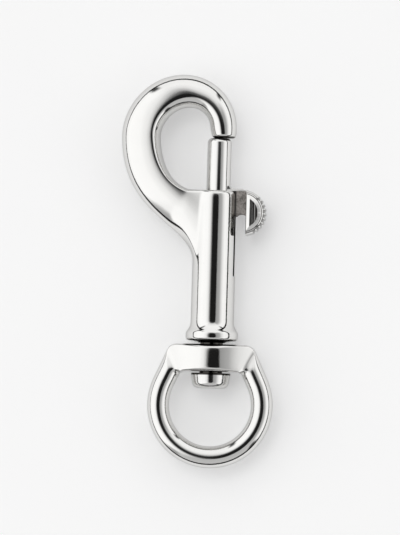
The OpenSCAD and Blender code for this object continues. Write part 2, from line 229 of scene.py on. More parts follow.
def next_ring(bm, ring, points):
    """Extrudes a ring and moves the new one to its points."""
    made = bmesh.ops.extrude_edge_only(bm, edges=closed_edges(bm, ring))["geom"]
    fresh = {g for g in made if isinstance(g, bmesh.types.BMVert)}
    following = [next(e.other_vert(v) for e in v.link_edges if e.other_vert(v) in fresh) for v in ring]
    for vert, point in zip(following, points):
        vert.co = point
    return following


def turned(profile, steps, x=0.0):
    """Turns a profile of radius and height about an upright axis beside the barrel's."""
    bm = bmesh.new()
    verts = [bm.verts.new((x + r, y, 0)) for r, y in profile]
    edges = [bm.edges.new(pair) for pair in zip(verts, verts[1:])]
    bmesh.ops.spin(
        bm, geom=verts + edges, cent=(x, 0, 0), axis=(0, 1, 0),
        angle=2 * math.pi, steps=steps, use_merge=True, use_duplicate=False)
    bmesh.ops.remove_doubles(bm, verts=bm.verts, dist=0.001 * MM)
    bmesh.ops.recalc_face_normals(bm, faces=bm.faces)
    return bm


def outline_slab(outline, low, high):
    """A flat outline made solid between two heights."""
    bm = bmesh.new()
    face = bm.faces.new([bm.verts.new((x, y, low)) for x, y in outline])
    made = bmesh.ops.extrude_face_region(bm, geom=[face])["geom"]
    top = [g for g in made if isinstance(g, bmesh.types.BMVert)]
    bmesh.ops.translate(bm, verts=top, vec=(0, 0, high - low))
    bmesh.ops.recalc_face_normals(bm, faces=bm.faces)
    return bm


def stand_up(bm, place_at):
    """Turns what was made about the height axis to face up, and moves it to its place."""
    bmesh.ops.rotate(bm, verts=bm.verts, cent=(0, 0, 0), matrix=Matrix.Rotation(math.pi / 2, 3, "X"))
    bmesh.ops.translate(bm, verts=bm.verts, vec=place_at)


def soften(bm, edges, radius, segments=3):
    bmesh.ops.bevel(
        bm, geom=edges, offset=radius, offset_type="OFFSET", affect="EDGES",
        segments=segments, profile=0.5, material=-1, clamp_overlap=True)


def place(bm, name):
    mesh = bpy.data.meshes.new(name)
    bm.to_mesh(mesh)
    bm.free()
    piece = bpy.data.objects.new(name, mesh)
    bpy.context.scene.collection.objects.link(piece)
    return piece


def round_off(piece, levels):
    modifier = piece.modifiers.new("Rounding", "SUBSURF")
    modifier.levels = modifier.render_levels = levels


def bare_faces(mesh, number):
    """Gives a mesh two finishes and all its faces the numbered one."""
    while len(mesh.materials) < 2:
        mesh.materials.append(None)
    for face in mesh.polygons:
        face.material_index = number


def carve(piece, *cutters, operation="DIFFERENCE"):
    """Cuts a piece; the faces that a difference cuts open take the piece's second finish."""
    bare_faces(piece.data, 0)
    for cutter in cutters:
        bare_faces(cutter.data, int(operation == "DIFFERENCE"))
        modifier = piece.modifiers.new("Cut", "BOOLEAN")
        modifier.operation = operation
        modifier.solver = "EXACT"
        modifier.object = cutter


def is_whole(mesh):
    """Whether a mesh is a closed solid, but for a stray sliver where cuts cross."""
    bm = bmesh.new()
    bm.from_mesh(mesh)
    torn = sum(not edge.is_manifold for edge in bm.edges)
    whole = bm.calc_volume(signed=True) > 0 and torn <= SLIVER_SHARE * len(bm.edges)
    bm.free()
    return whole


def settle(piece, sharp_degrees, *cutters):
    """Applies the piece's modifiers, drops its cutters and shades it.

    Now and then the solver loses the knob's body where many cuts cross. Cutting again gives the
    same result, so this stops the script."""
    graph = bpy.context.evaluated_depsgraph_get()
    graph.update()
    mesh = bpy.data.meshes.new_from_object(piece.evaluated_get(graph))
    if not is_whole(mesh):
        raise RuntimeError(f"{piece.name} didn't come out as a closed solid")
    piece.modifiers.clear()
    piece.data = mesh
    for cutter in cutters:
        bpy.data.objects.remove(cutter)
    mesh.shade_smooth()
    mesh.set_sharp_from_angle(angle=math.radians(sharp_degrees))
    return piece


def present(piece, body, slot, *finishes):
    marks = [face.material_index for face in piece.data.polygons]
    piece.data.materials.clear()
    for finish in finishes:
        piece.data.materials.append(finish)
    for face, mark in zip(piece.data.polygons, marks):
        face.material_index = min(mark, len(finishes) - 1)
    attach(piece, body)
    return piece


# ---- finishes ----

ALMOST_NONE = 1e-4


class Shader:
    """A small hand on one node tree."""

    def __init__(self, tree):
        self.tree = tree
        tree.nodes.clear()

    def node(self, kind, **settings):
        made = self.tree.nodes.new(kind)
        for name, value in settings.items():
            setattr(made, name, value)
        return made

    def feed(self, socket, value):
        if isinstance(value, bpy.types.NodeSocket):
            self.tree.links.new(value, socket)
        else:
            socket.default_value = value

    def sum(self, operation, *values):
        made = self.node("ShaderNodeMath", operation=operation)
        for socket, value in zip(made.inputs, values):
            self.feed(socket, value)
        return made.outputs[0]

    def rest(self, value):
        """What is left of one."""
        return self.sum("SUBTRACT", 1.0, value)

    def axes(self, vector):
        split = self.node("ShaderNodeSeparateXYZ")
        self.feed(split.inputs[0], vector)
        return split.outputs[0], split.outputs[1], split.outputs[2]

    def across(self, x, y):
        """How far a direction leans from straight up, never quite nothing."""
        squares = self.sum("ADD", self.sum("MULTIPLY", x, x), self.sum("MULTIPLY", y, y))
        return self.sum("MAXIMUM", self.sum("SQRT", squares), ALMOST_NONE)

    def remap(self, value, low, high, to_low, to_high, smooth=False):
        made = self.node("ShaderNodeMapRange")
        made.interpolation_type = "SMOOTHSTEP" if smooth else "LINEAR"
        self.feed(made.inputs["Value"], value)
        limits = {"From Min": low, "From Max": high, "To Min": to_low, "To Max": to_high}
        for name, number in limits.items():
            self.feed(made.inputs[name], number)
        return made.outputs[0]

    def noise(self, coordinate, per_metre, detail=2.0, stretch=None, roughness=0.5):
        if stretch:
            mapping = self.node("ShaderNodeMapping")
            mapping.inputs["Scale"].default_value = stretch
            self.feed(mapping.inputs["Vector"], coordinate)
            coordinate = mapping.outputs[0]
        made = self.node("ShaderNodeTexNoise")
        self.feed(made.inputs["Vector"], coordinate)
        made.inputs["Scale"].default_value = per_metre
        made.inputs["Detail"].default_value = detail
        made.inputs["Roughness"].default_value = roughness
        return made.outputs["Fac"]

    def two_tone(self, value, first, second):
        made = self.node("ShaderNodeMix", data_type="RGBA")
        self.feed(made.inputs["Factor"], value)
        for name, colour in (("A", first), ("B", second)):
            linked = isinstance(colour, bpy.types.NodeSocket)
            self.feed(made.inputs[name], colour if linked else (*colour, 1))
        return made.outputs["Result"]

    def bump(self, height, strength, distance, normal=None):
        made = self.node("ShaderNodeBump")
        made.inputs["Strength"].default_value = strength
        made.inputs["Distance"].default_value = distance
        self.feed(made.inputs["Height"], height)
        if normal:
            self.feed(made.inputs["Normal"], normal)
        return made.outputs[0]


GRAZING = 0.65
BUFFED = 0.05
GAP_SOFT = 0.2 * MM
CLOUDS, RIPPLES, HAIRLINES, GRAIN = 260, 130, 900, 5200
GRIT, BLOTCHES = 4200, 700
# Painted shade on the stem beside the barrel's slot: where it starts and ends, and how dark it gets.
SLOT_SHADE_FROM, SLOT_SHADE_TO, SLOT_SHADE_SHARE = 0.3 * MM, 0.2 * MM, 0.08


def darker(colour, share):
    return tuple(c * share for c in colour)


def steel(name, colour, roughness, metallic=1.0):
    """A metal whose roughness is set later; returns its shader hand, coordinates and surface."""
    material = bpy.data.materials.new(name)
    material.use_nodes = True
    shader = Shader(material.node_tree)
    output = shader.node("ShaderNodeOutputMaterial")
    surface = shader.node("ShaderNodeBsdfPrincipled")
    shader.feed(output.inputs["Surface"], surface.outputs[0])
    surface.inputs["Metallic"].default_value = metallic
    surface.inputs["Roughness"].default_value = roughness
    surface.inputs["Base Color"].default_value = (*colour, 1)
    surface.inputs["Specular Tint"].default_value = (GRAZING, GRAZING, GRAZING, 1)
    coordinate = shader.node("ShaderNodeTexCoord").outputs["Object"]
    material.diffuse_color = (*colour, 1)
    return material, shader, coordinate, surface


def polished(name, colour, roughness, gaps=(), dark=None):
    """Buffed casting: clouded, faintly rippled, with hairline wheel marks and fine grain.

    In the gaps at the swivel and the nose it is painted dark: painted shade where the parts meet."""
    material, shader, coordinate, surface = steel(name, colour, roughness)
    clouds = shader.noise(coordinate, CLOUDS, detail=3)
    grain = shader.noise(coordinate, GRAIN, detail=2)
    hairlines = shader.noise(coordinate, HAIRLINES, detail=3, stretch=(9, 0.6, 9))
    tint = shader.two_tone(clouds, colour, darker(colour, 0.95))
    # Painted shade: each gap mask darkens the colour towards the dark one.
    for gap in gaps:
        tint = shader.two_tone(gap_mask(shader, coordinate, *gap), tint, dark)
    shader.feed(surface.inputs["Base Color"], tint)
    dull = shader.sum("MULTIPLY_ADD", grain, 0.5 * roughness,
                      shader.remap(clouds, 0.35, 0.7, 0.6 * roughness, 1.5 * roughness))
    shader.feed(surface.inputs["Roughness"], dull)
    rippled = shader.bump(shader.noise(coordinate, RIPPLES, detail=1), 0.05, 0.4 * MM)
    marked = shader.bump(hairlines, 0.05, 0.01 * MM, rippled)
    shader.feed(surface.inputs["Normal"], shader.bump(grain, 0.22, 0.015 * MM, marked))
    return material


def gap_mask(shader, coordinate, low, high, soft, reach, bulge=0.0):
    """Mask for painted shade: one between two heights, within a reach sideways; a bulge lifts the top
    towards the faces.
    """
    x, y, z = shader.axes(coordinate)
    lifted = shader.sum("SUBTRACT", y, shader.sum("MULTIPLY", shader.sum("MULTIPLY", z, z), bulge))
    rows = shader.sum("MULTIPLY", shader.remap(y, low - soft, low, 0, 1, True),
                      shader.remap(lifted, high, high + soft, 1, 0, True))
    beside = shader.remap(shader.sum("ABSOLUTE", x), 0.8 * reach, reach, 1, 0, True)
    return shader.sum("MULTIPLY", rows, beside)


def as_cast(name, colour, inside):
    """Blasted casting skin: matt, pitted and mottled, with painted shade where it leaves the slot."""
    material, shader, coordinate, surface = steel(name, colour, 0.5, metallic=0.85)
    grain = shader.noise(coordinate, GRIT, detail=3, roughness=0.8)
    blotches = shader.noise(coordinate, BLOTCHES, detail=3)
    mixed = shader.sum("MULTIPLY", grain, shader.remap(blotches, 0.3, 0.7, 0.85, 1.15))
    light = tuple(min(1, c * 1.35) for c in colour)
    # Painted shade on the stem where it leaves the barrel's slot.
    slot_shade = shader.remap(shader.axes(coordinate)[0], inside - SLOT_SHADE_FROM, inside + SLOT_SHADE_TO, 1, 0, True)
    skin = shader.two_tone(shader.remap(mixed, 0.38, 0.62, 0, 1), darker(colour, 0.35), light)
    shader.feed(surface.inputs["Base Color"], shader.two_tone(slot_shade, skin, darker(colour, SLOT_SHADE_SHARE)))
    shader.feed(surface.inputs["Roughness"], shader.remap(blotches, 0.3, 0.7, 0.42, 0.62))
    shader.feed(surface.inputs["Normal"], shader.bump(grain, 0.6, 0.12 * MM))
    return material


def lined(name, colour, per_metre, stretch, dark, gloss, dull, strength, depth):
    """Metal with fine tool lines, which its colour, roughness and bump all follow."""
    material, shader, coordinate, surface = steel(name, colour, gloss)
    lines = shader.noise(coordinate, per_metre, detail=2, stretch=stretch)
    shader.feed(surface.inputs["Base Color"], shader.two_tone(lines, colour, darker(colour, dark)))
    shader.feed(surface.inputs["Roughness"], shader.remap(lines, 0.3, 0.7, gloss, dull))
    shader.feed(surface.inputs["Normal"], shader.bump(lines, strength, depth))
    return material


def drawn_wire(name, colour):
    """Drawn spring wire: satin, with fine die lines."""
    return lined(name, colour, 2500, (1, 6, 1), dark=0.7, gloss=0.22, dull=0.4,
                 strength=0.2, depth=0.02 * MM)


def drilled(name, colour):
    """Inside of the bore and slot: rings left by the drill."""
    return lined(name, colour, 1800, (0.2, 3, 0.2), dark=0.55, gloss=0.28, dull=0.5,
                 strength=0.3, depth=0.03 * MM)


# ---- hook, barrel and collar ----

RING = 28
COLUMNS = 32
HOLE_FIRST = 12
HOLE_LAST = COLUMNS - HOLE_FIRST
LIMB_SWELL = 1.0084
NECK_RISE = 0.22 * MM
# How far the painted shade under the collar bulges up towards its faces.
COLLAR_SHADE_BULGE = 0.2 * MM / (6 * MM) ** 2
SEAM_HIGH, SEAM_LOW = math.radians(114), math.radians(138)
CROWN_SWELL = 0.1 * MM
LOOP_SHARE = 0.72
LOOP_POWER = 0.93
WEB_JOIN = 0.62
WEB_STEPS = 6
NOSE_CREST = 0.54
ROUND_RIM = 9 * MM
WEB_SINK, LOOP_SINK = 0.3 * MM, 0.8 * MM
SOCKET_PLAY, PIN_PLAY = 0.02 * MM, 0.12 * MM
COLLAR_SOFT = 0.15 * MM
# Painted shade on the nose's end, in its gap over the rod's tip.
NOSE_GAP_RUN, NOSE_GAP_RISE, NOSE_REACH = 4 * MM, 0.3 * MM, 8 * MM
FACE_CROWN = 0.85


def limb_ring(outer, inner, half, crest, slope, rim):
    """A ring across the limb, thickest at its crest, with a sloping outer side down to a round rim."""
    rims = max(1, crest * (inner - outer).length / rim)
    points = []
    for k in range(RING):
        turn = 2 * math.pi * k / RING
        c, s = math.cos(turn), math.sin(turn)
        spot = outer.lerp(inner, crest + (1 - crest if c > 0 else crest) * c)
        ramp = s
        if c <= 0:
            on_rim = 1 - min(1, (1 + c) * rims)
            rise = (1 + c) * (1 - FACE_CROWN * c)
            ramp = math.copysign(slope * rise + (1 - slope) * math.sqrt(1 - on_rim ** 2), s)
        points.append(Vector((spot.x, spot.y, half * ramp)))
    centre = sum(points, Vector()) / RING
    return [centre + (p - centre) * LIMB_SWELL for p in points]


def hook_section(sizes, s):
    """Half thickness, crest, slope and rim along the hook, from the nose at 0 to the barrel at 1."""
    limb, web = sizes.limb_thickness, sizes.web_thickness
    stations = [
        (0, sizes.nose_thickness, NOSE_CREST, 0, ROUND_RIM),
        (0.25, sizes.crown_thickness, 0.66, 0.12, 4.2 * MM),
        (0.375, (sizes.crown_thickness + limb) / 2, 0.74, 0.35, 3.0 * MM),
        (0.5, limb, 0.8, 0.55, 2.1 * MM),
        (0.75, (limb + web) / 2, 0.9, 0.7, 1.7 * MM),
        (1, web, 0.95, 0.65, 5.0 * MM)]
    low, high = next((a, b) for a, b in zip(stations, stations[1:]) if s <= b[0])
    share = (s - low[0]) / (high[0] - low[0])
    thickness, *shape = (mix(a, b, share) for a, b in zip(low[1:], high[1:]))
    return thickness / 2, *shape


def crown_ring(sizes, turn):
    c, s = math.cos(turn), math.sin(turn)
    right = sizes.nose_x + sizes.nose_width / 2 + CROWN_SWELL
    left = HOOK_LOW.x
    lean = sizes.crown_lean * s
    inner = Vector((sizes.loop_x + sizes.loop_half * c + lean, sizes.loop_y + sizes.loop_crown * s, 0))
    outer = Vector(((right + left) / 2 + (right - left) / 2 * c + lean,
                    sizes.loop_y + (sizes.loop_crown + sizes.crown_width) * s, 0))
    return limb_ring(outer, inner, *hook_section(sizes, turn / (2 * math.pi)))


def web_outer(sizes, barrel, t):
    drop = sizes.loop_y - sizes.web_foot
    left, right = HOOK_LOW.x, WEB_SINK - barrel.barrel_r
    points = [Vector((left, sizes.loop_y, 0)), Vector((left, sizes.loop_y - drop * 2 / 3, 0)),
              Vector((right, sizes.web_foot + drop / 3, 0)), Vector((right, sizes.web_foot, 0))]
    weights = [(1 - t) ** 3, 3 * t * (1 - t) ** 2, 3 * t * t * (1 - t), t ** 3]
    return sum((p * w for p, w in zip(points, weights)), Vector())


def web_ring(sizes, barrel, t):
    foot_x = LOOP_SINK - barrel.barrel_r
    foot_w = foot_x - sizes.loop_x + sizes.loop_half
    turn = math.pi / 2 * min(1, t / LOOP_SHARE)
    inner = Vector((foot_x - foot_w * math.cos(turn) ** LOOP_POWER,
                    sizes.loop_y - (sizes.loop_y - barrel.mouth) * math.sin(turn) ** LOOP_POWER, 0))
    return limb_ring(web_outer(sizes, barrel, t), inner, *hook_section(sizes, 0.5 + t / 2))


def nose_ring(sizes, turn, inset_share=0.0):
    inset = sizes.nose_edge * (1 - math.cos(turn)) + inset_share * sizes.nose_width / 2
    y = sizes.nose_tip + sizes.nose_edge * (1 - math.sin(turn))
    half_w = sizes.nose_width / 2 - inset
    return limb_ring(Vector((sizes.nose_x + half_w, y, 0)), Vector((sizes.nose_x - half_w, y, 0)),
                     sizes.nose_thickness / 2 - inset, NOSE_CREST, 0, ROUND_RIM)


def barrel_profile(sizes):
    """Radius and height of each row, from the neck up through the collar's bead and cove to the barrel's
    side.
    """
    r, foot, collar = sizes.barrel_r, sizes.collar_foot, sizes.collar_r
    neck, neck_face = sizes.neck_r, HOOK_LOW.y
    hold = 0.08 * MM
    cone = neck_face + NECK_RISE
    rows = [(neck * 0.5, neck_face), (neck - 2 * hold, neck_face), (neck, neck_face + hold),
            (neck, cone - hold / 2), (neck + 2 * hold, cone), (mix(neck, collar, 0.5), mix(cone, foot, 0.8))]
    rows += arc((collar - sizes.foot_edge, foot + sizes.foot_edge), sizes.foot_edge, -90, 0, 4)
    bead = (collar - sizes.bead_edge, foot + sizes.bead_rise)
    rows += arc(bead, sizes.bead_edge, 0, 45, 3)
    start = rows[-1]
    out = start[0] - r
    cove_r = (out * out + sizes.cove_rise ** 2) / (2 * out)
    cove = (r + cove_r, start[1] + sizes.cove_rise)
    angle = math.degrees(math.atan2(start[1] - cove[1], start[0] - cove[0])) % 360
    rows += arc(cove, cove_r, angle, 180, 5)[1:]
    return rows


def ring_round(radius, y, seam=None):
    """A row round the barrel; a seam angle moves the columns that the web's sides grow from."""
    step = 2 * math.pi / COLUMNS
    turns = [step * k for k in range(COLUMNS)]
    if seam:
        span = HOLE_FIRST - COLUMNS // 4
        for k in range(1, 2 * span):
            start, end, share = (math.pi / 2, seam, k / span) if k < span else (seam, math.pi, k / span - 1)
            turns[COLUMNS // 4 + k] = mix(start, end, share)
            turns[3 * COLUMNS // 4 - k] = 2 * math.pi - mix(start, end, share)
    points = []
    for before, turn, after in zip(turns[-1:] + turns, turns, turns[1:] + turns[:1]):
        reach = radius * 3 / (2 + math.cos((after - before) % (2 * math.pi) / 2))
        points.append(Vector((reach * math.cos(turn), y, reach * math.sin(turn))))
    return points


class OBJECT_OT_snap_casting(bpy.types.Operator):
    """Build the hook, barrel and collar as one polished casting"""
    bl_idname = "object.snap_casting"
    bl_label = "Hook Casting"

    def execute(self, context):
        barrel, sizes = context.scene.snap_barrel, context.scene.snap_hook
        bm = bmesh.new()

        rows = barrel_profile(barrel)
        top_of_cove = rows[-1][1]
        rows += [(barrel.barrel_r, mix(top_of_cove, sizes.web_foot, s)) for s in (0.15, 0.4, 0.7)]
        hole_foot = len(rows)
        wall_top = barrel.mouth - barrel.mouth_edge
        rows += [(barrel.barrel_r, mix(sizes.web_foot, wall_top, s)) for s in (0, 0.3, 0.62, 0.93, 1)]
        edge = (barrel.barrel_r - barrel.mouth_edge, wall_top)
        rows += arc(edge, barrel.mouth_edge, 0, 90, 2)[1:]
        hole_top = len(rows) - 1
        rows += [(barrel.barrel_r * 0.6, barrel.mouth)]
        grid = []
        for n, (radius, y) in enumerate(rows):
            up = (n - hole_foot) / (hole_top - hole_foot)
            points = ring_round(radius, y, mix(SEAM_LOW, SEAM_HIGH, up) if 0 <= up <= 1 else None)
            grid.append(next_ring(bm, grid[-1], points) if grid else first_ring(bm, points))

        hole = [grid[r][c] for r, c in hole_places(hole_foot, hole_top)]
        inside = {grid[r][c] for r in range(hole_foot, hole_top + 1)
                  for c in range(HOLE_FIRST, HOLE_LAST + 1)}
        doomed = [f for f in bm.faces if all(v in inside for v in f.verts)]
        bmesh.ops.delete(bm, geom=doomed, context="FACES")
        for ring in (grid[0], grid[-1]):
            bmesh.ops.edgeloop_fill(bm, edges=closed_edges(bm, ring))

        quarter = math.pi / 2
        tips = [nose_ring(sizes, quarter, 0.35)]
        tips += [nose_ring(sizes, quarter * s) for s in (1, 0.75, 0.5, 0.25, 0)]
        crowns = [crown_ring(sizes, math.radians(9 * k)) for k in range(1, 21)]
        webs = [web_ring(sizes, barrel, WEB_JOIN * k / 12) for k in range(1, 13)]
        path = tips + crowns + webs
        ring = first_ring(bm, path[0])
        bmesh.ops.edgeloop_fill(bm, edges=closed_edges(bm, ring))
        for points in path[1:]:
            ring = next_ring(bm, ring, points)
        leave, arrive = path[-1], [v.co.copy() for v in hole]
        for step in range(1, WEB_STEPS):
            share = step / WEB_STEPS
            along = web_outer(sizes, barrel, mix(WEB_JOIN, 1, share))
            pull = along - leave[RING // 2].lerp(arrive[RING // 2], share)
            points = []
            for k in range(RING):
                weight = max(0, -math.cos(2 * math.pi * k / RING))
                points.append(leave[k].lerp(arrive[k], share) + pull * weight)
            ring = next_ring(bm, ring, points)
        last = next_ring(bm, ring, arrive)
        bmesh.ops.weld_verts(bm, targetmap=dict(zip(last, hole)))
        bmesh.ops.recalc_face_normals(bm, faces=bm.faces)

        piece = place(bm, "hook_casting")
        round_off(piece, 2)
        over = barrel.mouth + 2 * MM
        bore = place(turned([(0, barrel.bore_floor), (barrel.bore_r, barrel.bore_floor),
                             (barrel.bore_r, over), (0, over)], 64, barrel.bore_x), "bore_cutter")
        beyond = barrel.barrel_r * 2
        slot_outline = [(barrel.bore_x, barrel.slot_foot), (beyond, barrel.slot_foot),
                        (beyond, over), (barrel.bore_x, over)]
        slot = place(outline_slab(slot_outline, -barrel.slot_half, barrel.slot_half), "slot_cutter")
        eye = context.scene.snap_eye
        socket_r, under, socket_end = eye.pin_r + SOCKET_PLAY, HOOK_LOW.y - MM, eye.pin_end + SOCKET_PLAY
        socket = place(turned([(0, under), (socket_r, under), (socket_r, socket_end), (0, socket_end)], 48),
                       "pin_cutter")
        carve(piece, bore, slot, socket)
        settle(piece, 35, bore, slot, socket)
        finish = context.scene.snap_finish
        # Near-black colour for painted shade in the bore, slot and pin socket, and in the gaps.
        shaded = tuple(finish.bore)
        # Painted shade under the collar round the neck, and on the nose's end over the rod's tip.
        gaps = [(HOOK_LOW.y + NECK_RISE, barrel.collar_foot, COLLAR_SOFT, 2 * barrel.collar_r, COLLAR_SHADE_BULGE),
                (barrel.mouth + NOSE_GAP_RUN, sizes.nose_tip + NOSE_GAP_RISE, GAP_SOFT, NOSE_REACH)]
        present(piece, "hook", "polished_casting",
                polished("buffed_casting", finish.polish, BUFFED, gaps, shaded),
                drilled("drilled_bore", shaded))
        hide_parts("hook_body")
        return {"FINISHED"}


def hole_places(foot, top):
    """Row and column of each point round the hole in the barrel's wall, matched to a limb ring."""
    middle = COLUMNS // 2
    across = list(range(middle, HOLE_FIRST - 1, -1))
    places = [(top, c) for c in across]
    places += [(r, HOLE_FIRST) for r in range(top - 1, foot, -1)]
    places += [(foot, c) for c in range(HOLE_FIRST, HOLE_LAST + 1)]
    places += [(r, HOLE_LAST) for r in range(foot + 1, top)]
    places += [(top, c) for c in range(HOLE_LAST, middle, -1)]
    if len(places) != RING:
        raise RuntimeError("the web's ring and the barrel's hole have different counts")
    return places


# ---- swivel eye and its pin ----

CROOK_R = 0.8 * MM
CORNER_SHARE = 0.4
FACE_SHARE = 0.5
WIRE_SWELL = 1.0115
WIRE_CORNERS = 6
# Painted shade at the swivel: under the bar's foot, on the bar's top beside the collar, and on the pin
# head's top under the bar.
FOOT_SHADE, FOOT_REACH = 0.1 * MM, 5 * MM
TOP_SHADE, TOP_REACH = 0.25 * MM, 7 * MM
HEAD_LIP, HEAD_SHADE, HEAD_SOFT = 0.12 * MM, 0.4 * MM, 0.15 * MM


def block_ring(outer, inner, half_out, half_in, corner):
    """A ring with round corners between two points, each with its half thickness."""
    across = inner - outer
    half_w, middle = across.length / 2, (outer + inner) / 2
    along = across.normalized()
    points = []
    for side in range(4):
        sx, sz = (1, -1, -1, 1)[side], (1, 1, -1, -1)[side]
        for step in range(WIRE_CORNERS):
            turn = math.radians(90 * side + 90 * (step + 0.5) / WIRE_CORNERS)
            u = sx * (half_w - corner) + corner * math.cos(turn)
            half = mix(half_out, half_in, (u / half_w + 1) / 2)
            w = sz * (half - corner) + corner * math.sin(turn)
            points.append(middle + (along * u + Vector((0, 0, w))) * WIRE_SWELL)
    return points


def bar_half(sizes, x):
    """The bar's half thickness: a round boss at the pin that runs out into sloping arms."""
    steep = math.tan(sizes.bar_slope)
    run = sizes.boss_r * steep ** 2
    return sizes.bar_half + run - math.hypot(x * steep, run)


def bar_edge(sizes, x):
    """The bar's long edges are rounded more where it is thicker."""
    return sizes.bar_edge * bar_half(sizes, x) / sizes.bar_half


def eye_stations(sizes):
    """Outer and inner points, their half thicknesses and the corner radius of the right side's rings."""
    along = Vector((-math.sin(sizes.lean), math.cos(sizes.lean), 0))
    outward = Vector((math.cos(sizes.lean), math.sin(sizes.lean), 0))
    inner_r, wire = sizes.eye_r, sizes.wire_r
    outer_r, middle_r = inner_r + 2 * wire, inner_r + wire
    corner_s = (sizes.bar_top - wire - middle_r * math.sin(sizes.lean)) / math.cos(sizes.lean)
    corner = outward * middle_r + along * corner_s
    crook_s = (sizes.bar_foot - inner_r * math.sin(sizes.lean)) / math.cos(sizes.lean)
    crook = outward * inner_r + along * crook_s
    stations = []
    for k in range(21):
        turn = mix(-math.pi / 2, sizes.lean, k / 20)
        way = Vector((math.cos(turn), math.sin(turn), 0))
        stations.append((way * outer_r, way * inner_r, wire, wire, wire))
    for k in range(1, 4):
        run = along * (crook_s - CROOK_R) * k / 4
        stations.append((outward * outer_r + run, outward * inner_r + run, wire, wire, wire))
    for k in range(9):
        t = k / 8
        bend = max(0, (t - CORNER_SHARE) / (1 - CORNER_SHARE))
        turn = mix(sizes.lean, math.pi / 2, bend)
        run = mix(crook_s - CROOK_R, corner_s, t / CORNER_SHARE)
        outer = outward * outer_r + along * run
        if t >= CORNER_SHARE:
            outer = corner + Vector((math.cos(turn), math.sin(turn), 0)) * wire
        inner = ((crook - along * CROOK_R) * (1 - t) ** 2 + crook * 2 * t * (1 - t)
                 + (crook - Vector((CROOK_R, 0, 0))) * t * t)
        squared = ease(t / FACE_SHARE)
        stations.append((outer, inner, mix(wire, bar_half(sizes, outer.x), squared),
                         mix(wire, bar_half(sizes, inner.x), squared),
                         mix(wire, bar_edge(sizes, outer.x), squared)))
    for k in range(1, 10):
        top_x, foot_x = (x * (1 - k / 9) for x in (corner.x, crook.x - CROOK_R))
        stations.append((Vector((top_x, sizes.bar_top, 0)), Vector((foot_x, sizes.bar_foot, 0)),
                         bar_half(sizes, top_x), bar_half(sizes, foot_x), bar_edge(sizes, top_x)))
    return stations


def mirrored(point):
    return Vector((-point.x, point.y, point.z))


class OBJECT_OT_snap_eye(bpy.types.Operator):
    """Build the swivel eye with the bar across its top"""
    bl_idname = "object.snap_eye"
    bl_label = "Swivel Eye"

    def execute(self, context):
        sizes = context.scene.snap_eye
        right = eye_stations(sizes)
        left = [(mirrored(a), mirrored(b), *shape) for a, b, *shape in reversed(right[1:-1])]
        bm = bmesh.new()
        rings = [block_ring(*station) for station in right + left]
        start = ring = first_ring(bm, rings[0])
        for points in rings[1:]:
            ring = next_ring(bm, ring, points)
        last = next_ring(bm, ring, rings[0])
        bmesh.ops.weld_verts(bm, targetmap=dict(zip(last, start)))
        bmesh.ops.recalc_face_normals(bm, faces=bm.faces)
        piece = place(bm, "swivel_eye_casting")
        round_off(piece, 2)
        hole_r = sizes.pin_r + PIN_PLAY
        low, high = sizes.bar_foot - MM, sizes.bar_top + MM
        hole = place(turned([(0, low), (hole_r, low), (hole_r, high), (0, high)], 64), "pin_hole_cutter")
        carve(piece, hole)
        settle(piece, 35, hole)
        finish = context.scene.snap_finish
        # Near-black colour for painted shade in the pin hole and in the gaps under and over the bar.
        shaded = tuple(finish.bore)
        # Painted shade under the bar's foot and on the bar's top beside the collar.
        gaps = [(sizes.bar_foot - MM, sizes.bar_foot + FOOT_SHADE, GAP_SOFT, FOOT_REACH),
                (sizes.bar_top - TOP_SHADE, sizes.bar_top + MM, TOP_SHADE, TOP_REACH)]
        present(piece, "eye", "polished_eye",
                polished("buffed_eye", finish.polish, BUFFED, gaps, shaded),
                drilled("drilled_eye", shaded))
        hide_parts("swivel_eye")
        return {"FINISHED"}


class OBJECT_OT_snap_pin(bpy.types.Operator):
    """Build the headed pin that holds the eye to the barrel"""
    bl_idname = "object.snap_pin"
    bl_label = "Swivel Pin"

    def execute(self, context):
        sizes = context.scene.snap_eye
        low_r = sizes.head_r - sizes.head_taper
        edge, lip = sizes.head_edge, HEAD_LIP
        profile = [(0, sizes.head_foot)]
        profile += arc((low_r - edge, sizes.head_foot + edge), edge, -90, 0, 8)
        profile += [(sizes.head_r - lip * 0.1, sizes.head_top - lip), (sizes.head_r - lip, sizes.head_top)]
        profile += [(sizes.pin_r, sizes.head_top), (sizes.pin_r, sizes.pin_end), (0, sizes.pin_end)]
        piece = settle(place(turned(profile, 96), "headed_pin"), 35)
        finish = context.scene.snap_finish
        # Painted shade on the head's top and the shank above it, under the bar.
        gap = (sizes.head_top - HEAD_SHADE, sizes.pin_end, HEAD_SOFT, 2 * sizes.head_r)
        present(piece, "hook", "turned_pin",
                polished("turned_rivet", finish.polish, 0.07, [gap], tuple(finish.bore)))
        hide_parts("swivel_pin")
        return {"FINISHED"}


# ---- bolt: rod, stem and knob ----

FIRST_GROOVE = 41.0
GROOVE_SPAN = 110.25
POCKET_BACK = 0.95 * MM
POCKET_SECTION = [(1, 1), (1, -0.85), (0.93, -0.97), (0.8, -1.0), (0.45, -0.985), (0.36, -0.955),
                  (0.14, -0.945), (0.06, -0.968), (-0.34, -0.95), (-0.4, -0.925), (-0.54, -0.92),
                  (-0.6, -0.94), (-0.85, -0.925), (-0.95, -0.89), (-1, -0.8), (-1, 1)]
KNOB_RISE = 0.15 * MM
STEM_FILLET = 0.8 * MM
RIB_RUN = 1.6 * MM
LINE_R = 0.11 * MM
ARCH_R = 1.55 * MM
ARCH_H = 0.55 * MM
SMALL_EDGE = 0.3 * MM
# Painted shade at the rod's tip, in its gap under the nose.
TIP_DARK, TIP_REACH = 0.2 * MM, 8 * MM
BRIGHT_EDGE = 0.1 * MM


def knob_centre(sizes):
    return Vector((sizes.knob_back - sizes.knob_cut, sizes.stem_top - sizes.knob_r + KNOB_RISE, 0))


